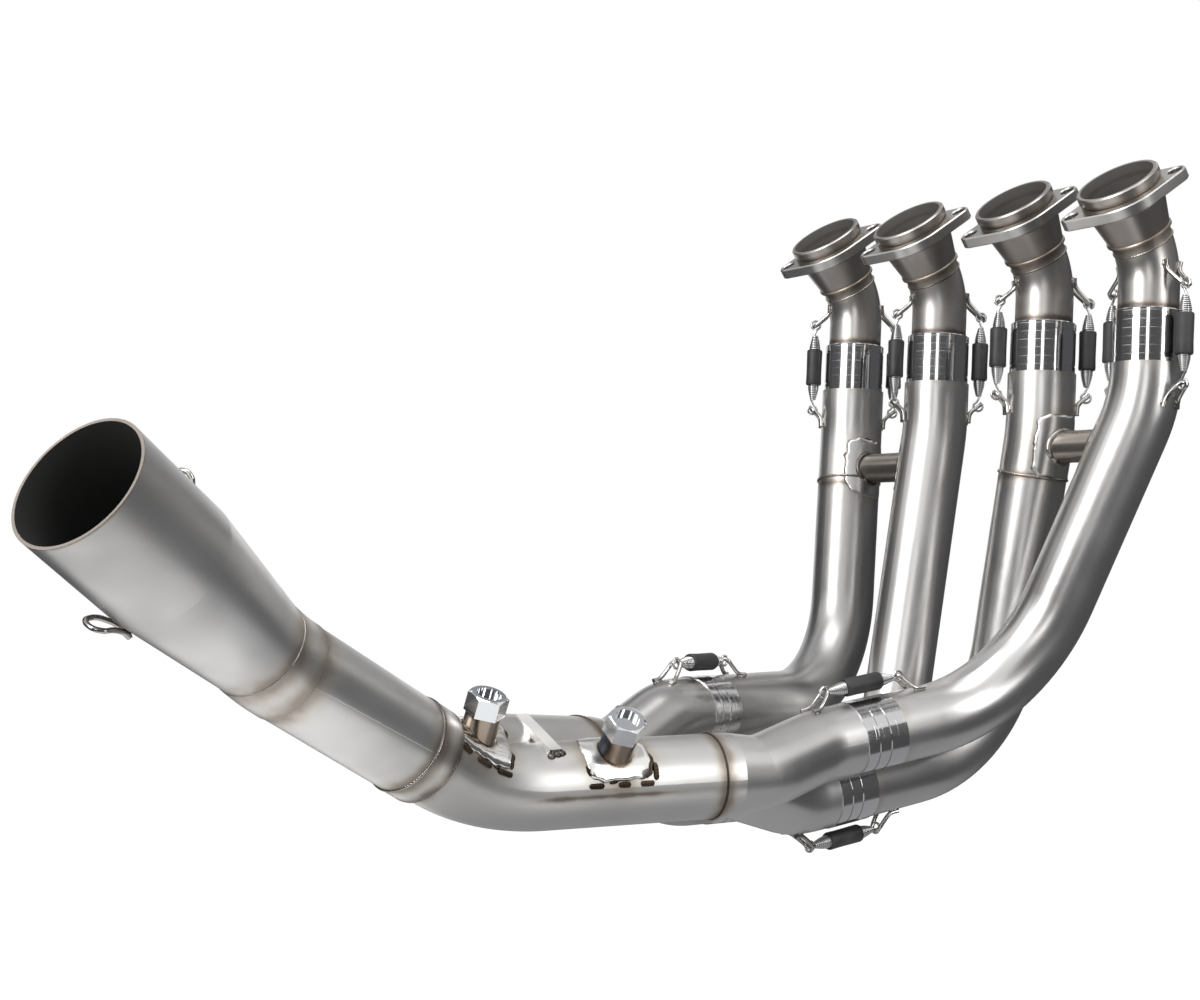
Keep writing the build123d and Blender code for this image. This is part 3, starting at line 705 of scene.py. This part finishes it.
# %% Bungs, plugs, strap, wire and rubber
blue_side = bung_foot["front"] + front_way * 0.009 + bung_axis("front")[1] * 0.007
bung_metal = metal("bung_heated", (0.56, 0.46, 0.38), 0.26, cloud=0.4,
                   heats=[(place, NO_AXIS, 1.0, 0.004, 0.014, 0.7) for place in bung_foot.values()]
                   + [(blue_side, NO_AXIS, 1.0, 0.0055, 0.012, 1.0)])
plug_metal = metal("plug_plated", (0.82, 0.84, 0.86), 0.13, marks=0.10, cloud=0.12)
saddle_metal = metal("saddle_bright", (0.90, 0.885, 0.86), 0.20, marks=0.16, cloud=0.12,
                     heats=[(place, NO_AXIS, 1.0, 0.0095, 0.0135, 0.75) for place in bung_foot.values()])
for key in BUNG_SPOTS:
    nodes[f"lambda_bung_{key}"].material_slots[0].material = bung_metal
    nodes[f"lambda_plug_{key}"].material_slots[0].material = plug_metal
nodes["secondary_tie_strap"].material_slots[0].material = saddle_metal
wire_metal = metal("spring_wire", (0.62, 0.62, 0.62), 0.16, grain=2600)
hook_metal = metal("hook_wire", (0.60, 0.58, 0.55), 0.18, cloud=0.3)
bead_metal = metal("weld_bead", (0.52, 0.48, 0.44), 0.28, marks=0.2, cloud=0.6)
burnt_metal = metal("weld_burn", (0.10, 0.075, 0.055), 0.45, marks=0.3, cloud=0.5)

rubber, tree, out = new_material("black_rubber")
here = add_node(tree, "TexCoord").outputs["Object"]
skin = use_group(tree, satin, {"Vector": here, "Grain": 1800.0, "Marks": 60.0})
dust = add_node(tree, "Mix", {0: skin["Marks"], 6: (0.014, 0.014, 0.015, 1), 7: (0.032, 0.032, 0.034, 1)},
                data_type="RGBA").outputs[2]
pebble = add_node(tree, "Bump", {"Strength": 0.25, "Distance": 0.0003, "Height": skin["Grain"]})
shader = add_node(tree, "BsdfPrincipled", {
    "Base Color": dust, "Roughness": maths(tree, "ADD", 0.42, maths(tree, "MULTIPLY", skin["Marks"], 0.2)),
    "Normal": pebble.outputs[0]})
tree.links.new(shader.outputs[0], out.inputs["Surface"])
print(len(bpy.data.materials), "materials")

# %% [markdown]
# ## Springs
# Each slip joint is held by extension springs. A real one is a tight coil wound down to a hook at either
# end, with a rubber sleeve so that it doesn't buzz. The coil is a small circle spun round the spring's axis
# with a rise at each step, then narrowed toward its ends. The hooks on the pipes are bent rod, welded by
# their two feet.

# %% Where the springs are
UPPER_TURNS = {1: (-40, 140), 2: (-40, 140), 3: (-40, 140), 4: (-95, 85)}
LOWER_TURNS = {1: 0, 2: 125, 3: 180, 4: 0}
WIRE_R, COIL_R, COIL_L, TAPER_L = 0.00062, 0.0034, 0.046, 0.009
COIL_STEPS = 14
EYE_R, HOOK_R, HOOK_HALF = 0.0031, 0.0013, 0.0042
HOOK_SLOPE = math.radians(40)


def spring_axes(i):
    """(centre, along, out, half span) of the three springs of a pipe."""
    found = []
    for turn in UPPER_TURNS[i]:
        out_dir = Vector((math.cos(math.radians(turn)), math.sin(math.radians(turn)), 0))
        found.append((upper_joint(i), JOINT_DOWN, out_dir, 0.028, 0.030))
    corner, joint = LOWER_JOINT[i]
    turn = math.radians(LOWER_TURNS[i])
    found.append((joint, (joint - corner).normalized(), Vector((0, math.sin(turn), math.cos(turn))), 0.030, 0.026))
    axes = []
    for centre, along, out_dir, reach, half in found:
        out_dir = (out_dir - along * out_dir.dot(along)).normalized()
        axes.append((centre + out_dir * reach, along.normalized(), out_dir, half))
    return axes


# %% What the hooks and beads are welded to
def surface_tree(*names):
    """Search tree of some CAD nodes, to drop points onto their surface."""
    bm = bmesh.new()
    for name in names:
        bm.from_mesh(nodes[name].data)
    tree = BVHTree.FromBMesh(bm)
    bm.free()
    return tree


DROP_REACH = 0.08


def drop(tree, place, direction):
    """Where a ray meets the surface, and the surface's outward direction there."""
    hit, normal, _, _ = tree.ray_cast(place, direction.normalized(), DROP_REACH)
    if hit is None:
        return None, None
    if normal.dot(direction) > 0:
        normal = -normal
    return hit, normal


# %% Coil
def coil(bm, centre, along, out_dir):
    turns = int(COIL_L / (WIRE_R * 2.02))
    start = centre - along * COIL_L / 2
    across = along.cross(out_dir)
    lie = Matrix((out_dir, along, -across)).transposed().to_4x4()
    made = bmesh.ops.create_circle(bm, segments=6, radius=WIRE_R,
                                   matrix=Matrix.Translation(start + out_dir * COIL_R) @ lie)
    edges = {edge for vert in made["verts"] for edge in vert.link_edges}
    old = set(bm.verts) - set(made["verts"])
    steps = turns * COIL_STEPS
    bmesh.ops.spin(bm, geom=[*made["verts"], *edges], cent=start, axis=along, dvec=along * COIL_L / steps,
                   angle=math.tau * turns, steps=steps, use_merge=False)
    for vert in set(bm.verts) - old:
        height = (vert.co - centre).dot(along)
        radial = vert.co - centre - along * height
        past = max(0.0, abs(height) - (COIL_L / 2 - TAPER_L)) / TAPER_L
        wind = COIL_R * (1 - 0.62 * min(past, 1.0) ** 1.4)
        vert.co -= radial.normalized() * (COIL_R - wind)


# %% Spring ends, sleeves and rod hooks
def spring_end(bm, centre, along, out_dir, half):
    """Wire from the coil's tip to a loop round the rod hook."""
    eye = centre + along * half
    tip = centre + along * (COIL_L / 2 - 0.001)
    path = [tip + out_dir * 0.0012, tip + along * 0.002 + out_dir * 0.0004]
    for k in range(9):
        turn = math.radians(-160 + 40 * k)
        path.append(eye + (along * math.cos(turn) + out_dir * math.sin(turn)) * EYE_R)
    sweep(bm, smooth_path(path, 4), WIRE_R * 1.25, sides=6)


def sleeve(bm, centre, along, out_dir):
    """Rubber tube with rounded lips, turned from its profile."""
    half, radius = 0.0125, 0.0054
    profile = [(0.0041, half - 0.0006), (0.0046, half), (radius - 0.0003, half - 0.0003),
               (radius, half - 0.0012), (radius * 0.97, half * 0.4), (radius * 0.98, -half * 0.2),
               (radius, 0.0012 - half),
               (radius - 0.0003, 0.0003 - half), (0.0046, -half), (0.0041, 0.0006 - half)]
    chain = [bm.verts.new(centre + out_dir * r + along * h) for r, h in profile]
    edges = [bm.edges.new(pair) for pair in zip(chain, chain[1:])]
    bmesh.ops.spin(bm, geom=[*chain, *edges], cent=centre, axis=along, angle=math.tau, steps=28, use_merge=True)


def rod_hook(bm, centre, along, out_dir, half, pipe):
    """Bent rod through the spring's eye, with two legs that slope back to the pipe."""
    eye = centre + along * half
    across = along.cross(out_dir)
    slope = (along * math.sin(HOOK_SLOPE) - out_dir * math.cos(HOOK_SLOPE)).normalized()
    feet = []
    for side in (-1, 1):
        hit, normal = drop(pipe, eye + across * side * HOOK_HALF - slope * 0.001, slope + across * side * 0.06)
        if hit is None:
            hit, normal = drop(pipe, eye + across * side * HOOK_HALF, -out_dir)
        if hit is None:
            print("no foot for a hook at", tuple(round(v, 3) for v in eye))
            return
        feet.append((hit, normal, slope - normal * slope.dot(normal)))
    (a, a_out, a_way), (b, b_out, b_way) = feet
    lift = HOOK_R * 0.9
    path = [a + a_way.normalized() * 0.006 + a_out * lift, a + a_out * lift * 1.3,
            eye + slope * 0.0042 - across * HOOK_HALF, eye - slope * 0.0002 - across * HOOK_HALF * 0.72,
            eye - slope * 0.0016, eye - slope * 0.0002 + across * HOOK_HALF * 0.72,
            eye + slope * 0.0042 + across * HOOK_HALF, b + b_out * lift * 1.3,
            b + b_way.normalized() * 0.006 + b_out * lift]
    sweep(bm, smooth_path(path, 5), HOOK_R, sides=10)
    return [(hit + way.normalized() * 0.003, normal, way) for hit, normal, way in feet]


# %% Make the springs
hook_feet = []
for i in PORT_Y:
    stub_tree = surface_tree(f"stub_pipe_{i}", f"port_collar_{i}")
    pipe_tree = surface_tree(f"primary_pipe_{i}", f"crossover_saddle_{i}")
    collector_tree = surface_tree("y_collector_front" if i > 2 else "y_collector_rear")
    coils, sleeves, hooks = bmesh.new(), bmesh.new(), bmesh.new()
    for number, (centre, along, out_dir, half) in enumerate(spring_axes(i)):
        coil(coils, centre, along, out_dir)
        sleeve(sleeves, centre, along, out_dir)
        near, far = (stub_tree, pipe_tree) if number < 2 else (pipe_tree, collector_tree)
        for way, pipe in ((-along, near), (along, far)):
            spring_end(coils, centre, way, out_dir, half)
            feet = rod_hook(hooks, centre, way, out_dir, half, pipe)
            hook_feet.extend(feet or [])
    solid_object(coils, f"coils_{i}", wire_metal, [f"springs_pipe_{i}"])
    solid_object(sleeves, f"rubber_{i}", rubber, [f"spring_sleeves_pipe_{i}"])
    solid_object(hooks, f"rod_hooks_{i}", hook_metal, [f"spring_hooks_pipe_{i}"])

# %% Loops of the silencer springs
def tail_loop(bm, along, turn, size):
    """Bent wire, both legs flat on the cone, whose eye leans out and toward the mouth."""
    foot, out_dir = loop_foot(along, turn)
    across = mouth_dir.cross(out_dir)
    lean = (out_dir * 0.58 + mouth_dir * 0.81).normalized()
    half = [(-0.0040, -0.008, 0.0), (-0.0042, -0.003, 0.0), (-0.0058, 0.0, 0.0035), (-0.0066, 0.0, 0.0075),
            (-0.0045, 0.0, 0.0115)]
    bend = half + [(0.0, 0.0, 0.0128)] + [(-side, back, rise) for side, back, rise in reversed(half)]
    path = [foot + out_dir * HOOK_R * 0.8 + (across * side + mouth_dir * back + lean * rise) * size
            for side, back, rise in bend]
    sweep(bm, smooth_path(path, 5), HOOK_R, sides=10)
    return [(foot + across * side + mouth_dir * -0.006, out_dir, mouth_dir) for side in (-0.0036, 0.0036)]


loops, loop_welds = bmesh.new(), []
for where in LOOP_SPOTS:
    loop_welds.extend(tail_loop(loops, *where))
solid_object(loops, "tail_loops", hook_metal, ["outlet_hooks"])

# %% [markdown]
# ## Weld beads
# The seams between tubes are hand-made beads: rows of overlapping puddles, slightly proud of the metal. Round
# seams are rings round the pipe's axis. The beads round the crossovers, bungs and patches follow a curved
# surface, so their points are dropped onto it first.

# %% Round seams
beads, burns = bmesh.new(), bmesh.new()
for i in PORT_Y:
    weld_ring(beads, port(i) - PORT_OUT * (COLLAR_LENGTH + 0.0052), PORT_OUT, STUB_R, 0.0007)
for i in SEAM_Z:
    weld_ring(beads, on_primary(i, SEAM_Z[i]), on_primary(i, -0.2) - on_primary(i, -0.15), PRIMARY_R, 0.0010)
for target, centre, axis, radius, thick in (
        (burns, FRONT_OUTLET, front_way, SECONDARY_R, 0.0007), (burns, REAR_OUTLET, rear_way, SECONDARY_R, 0.0007),
        (beads, TAIL_START, tail_dir, 0.0246, 0.0014), (beads, ring_end, tail_dir, 0.0253, 0.0010),
        (beads, kink_in, tail_dir, TAIL_R, 0.0004), (beads, kink_out, mouth_dir, TAIL_R, 0.0004)):
    weld_ring(target, centre, axis, radius, thick)
print("round seams", len(beads.faces) + len(burns.faces), "faces")


# %% Beads that follow a surface
def draped_bead(bm, tree, path, direction_of, thick, seed, gaps=None):
    """Bead along points dropped onto a surface; noise below gaps leaves it out there."""
    run, runs = [], []
    for k, place in enumerate(path):
        hit, normal = drop(tree, place, direction_of(place))
        keep = hit is not None and (gaps is None or noise.noise(place * 160 + Vector((seed, 0, 0))) > gaps)
        if keep:
            run.append(hit)
        if run and (not keep or k == len(path) - 1):
            runs.append(run)
            run = []
    for points in runs:
        if len(points) < 6:
            continue
        radii = bead_radii(points, thick, seed=seed)
        for end in range(3):
            radii[end] *= 0.45 + 0.2 * end
            radii[-1 - end] *= 0.45 + 0.2 * end
        sweep(bm, points, radii, sides=6)


# %% [markdown]
# ## Weld patches
# A ragged piece of sheet lies round each crossover tube and each sensor bung. On the real one it is bent over
# the pipe and welded along its edge. Here a flat grid is rolled into a ring, its outer edge is pulled out to
# a ragged rounded square, every point is dropped onto the pipe, and the sheet gets its thickness last.

# %% Patch
EDGE_STEPS, EDGE_OUT = 160, 0.0003


def patch_edge(turn, long, wide, seed):
    """Distance from the middle of a patch to its ragged outer edge."""
    square = (abs(math.cos(turn) / long) ** 5 + abs(math.sin(turn) / wide) ** 5) ** -0.2
    return square * (1 + 0.07 * noise.noise(Vector((math.cos(turn) * 5, math.sin(turn) * 5, seed))))


def around(start, out_dir, along, turn, reach):
    return start + (along * math.cos(turn) + out_dir.cross(along) * math.sin(turn)) * reach


def edge_path(start, out_dir, along, long, wide, seed):
    """Closed path a little outside a patch's ragged edge."""
    turns = [math.tau * k / EDGE_STEPS for k in range(EDGE_STEPS + 1)]
    return [around(start, out_dir, along, turn, patch_edge(turn, long + EDGE_OUT, wide + EDGE_OUT, seed))
            for turn in turns]


def patch(name, material, skin, start, out_dir, along, hole, long, wide, lift, seed, replaced):
    sheet = bmesh.new()
    made = bmesh.ops.create_grid(sheet, x_segments=120, y_segments=7, size=0.5)
    for vert in made["verts"]:
        turn, share = math.tau * vert.co.x, vert.co.y + 0.5
        reach = hole + (patch_edge(turn, long, wide, seed) - hole) * share
        place = around(start, out_dir, along, turn, reach)
        hit, normal = drop(skin, place, -out_dir)
        if hit is None:
            hit, normal, _, _ = skin.find_nearest(place)
        vert.co = hit + normal * lift * (1 - 0.6 * share ** 6)
    bmesh.ops.remove_doubles(sheet, verts=sheet.verts, dist=0.00001)
    bmesh.ops.recalc_face_normals(sheet, faces=sheet.faces)
    if sum(face.normal.dot(out_dir) for face in sheet.faces) < 0:
        bmesh.ops.reverse_faces(sheet, faces=sheet.faces)
    bmesh.ops.solidify(sheet, geom=sheet.faces, thickness=lift * 0.8)
    solid_object(sheet, name, material, [replaced])


CROSS_LONG, CROSS_WIDE = 0.020, 0.017
BUNG_LONG, BUNG_WIDE = 0.0190, 0.0156
for i in PORT_Y:
    here, mate = on_primary(i, CROSS_Z[i]), on_primary(CROSS_MATE[i], CROSS_Z[i])
    toward = (mate - here).normalized()
    down = (on_primary(i, -0.2) - on_primary(i, -0.15)).normalized()
    down = (down - toward * down.dot(toward)).normalized()
    skin = surface_tree(f"primary_pipe_{i}")
    start = here + toward * (PRIMARY_R + 0.012)
    patch(f"crossover_patch_{i}", pad_metal, skin, start, toward, down, 0.0085, CROSS_LONG, CROSS_WIDE, 0.0004,
          i, f"crossover_saddle_{i}")
    ring = ring_path(start, toward, 0.0102, 90)
    draped_bead(beads, skin, ring + ring[:1], lambda place: -toward, 0.0019, i)
    edge = edge_path(start, toward, down, CROSS_LONG, CROSS_WIDE, i)
    draped_bead(beads, skin, edge, lambda place: -toward, 0.0005, i + 7, gaps=0.2)

front_tree = surface_tree("secondary_pipe_front", "secondary_pipe_rear")
BURN_SLOTS = {
    "front": ((-19.5, -11.5, 17, 17), (-5.5, 1.5, 17, 17), (10, 18.5, 17, 17), (-21, -21, 16, 8)),
    "rear": ((-17, -8, 17, 17), (-4, 5, 17, 17), (9, 17, 17, 17)),
}
for key in BUNG_SPOTS:
    base, out_dir = bung_axis(key)
    edge_x = (front_way - out_dir * front_way.dot(out_dir)).normalized()
    start = base + out_dir * (SECONDARY_R + 0.010)
    patch(f"lambda_patch_{key}", saddle_metal, front_tree, start, out_dir, edge_x, 0.0088, BUNG_LONG, BUNG_WIDE,
          0.0013, len(key) + 20, f"lambda_saddle_{key}")
    ring = ring_path(start, out_dir, 0.0099, 90)
    draped_bead(beads, front_tree, ring + ring[:1], lambda place: -out_dir, 0.0015, 20)
    edge = edge_path(start, out_dir, edge_x, BUNG_LONG, BUNG_WIDE, len(key) + 20)
    draped_bead(burns, front_tree, edge, lambda place: -out_dir, 0.0011, 30, gaps=0.0)
    low_side = edge_x.cross(out_dir)
    if low_side.z > 0:
        low_side = -low_side
    for first, last, low, high in BURN_SLOTS[key]:
        line = [start + edge_x * (first + (last - first) * k / 23) * 0.001
                + low_side * (low + (high - low) * k / 23) * 0.001 for k in range(24)]
        draped_bead(burns, front_tree, line, lambda place: -out_dir, 0.0017, 31)
for place, normal, way in hook_feet + loop_welds:
    weld_blob(beads, place, normal, way, 0.0021)
strap_low, strap_high = (Vector(corner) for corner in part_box("secondary_tie_strap"))
for shift in (0.001, 0.004, 0.007):
    above = Vector((strap_low.x + shift, strap_low.y - 0.0005, strap_high.z + 0.01))
    place, normal = drop(front_tree, above, Vector((0, 0, -1)))
    weld_blob(beads, place, normal, Vector((1, 0, 0)), 0.0022, long=1.2)

# %% Long seam of the tail pipe
SEAM_ENDS, SEAM_STEPS = (at(-488.3, -43.4, -281.7), at(-416.2, -30.8, -317.7)), 60
tube_seam = [SEAM_ENDS[0].lerp(SEAM_ENDS[1], k / SEAM_STEPS) for k in range(SEAM_STEPS + 1)]
tail_tree = surface_tree("tail_pipe")
tube_seam = [tail_tree.find_nearest(place)[0] for place in tube_seam]
seam_lines = bmesh.new()
sweep(seam_lines, tube_seam, 0.00035, sides=6)
solid_object(seam_lines, "tube_seam", tail_metal)
solid_object(beads, "weld_beads", bead_metal)
solid_object(burns, "weld_burns", burnt_metal)

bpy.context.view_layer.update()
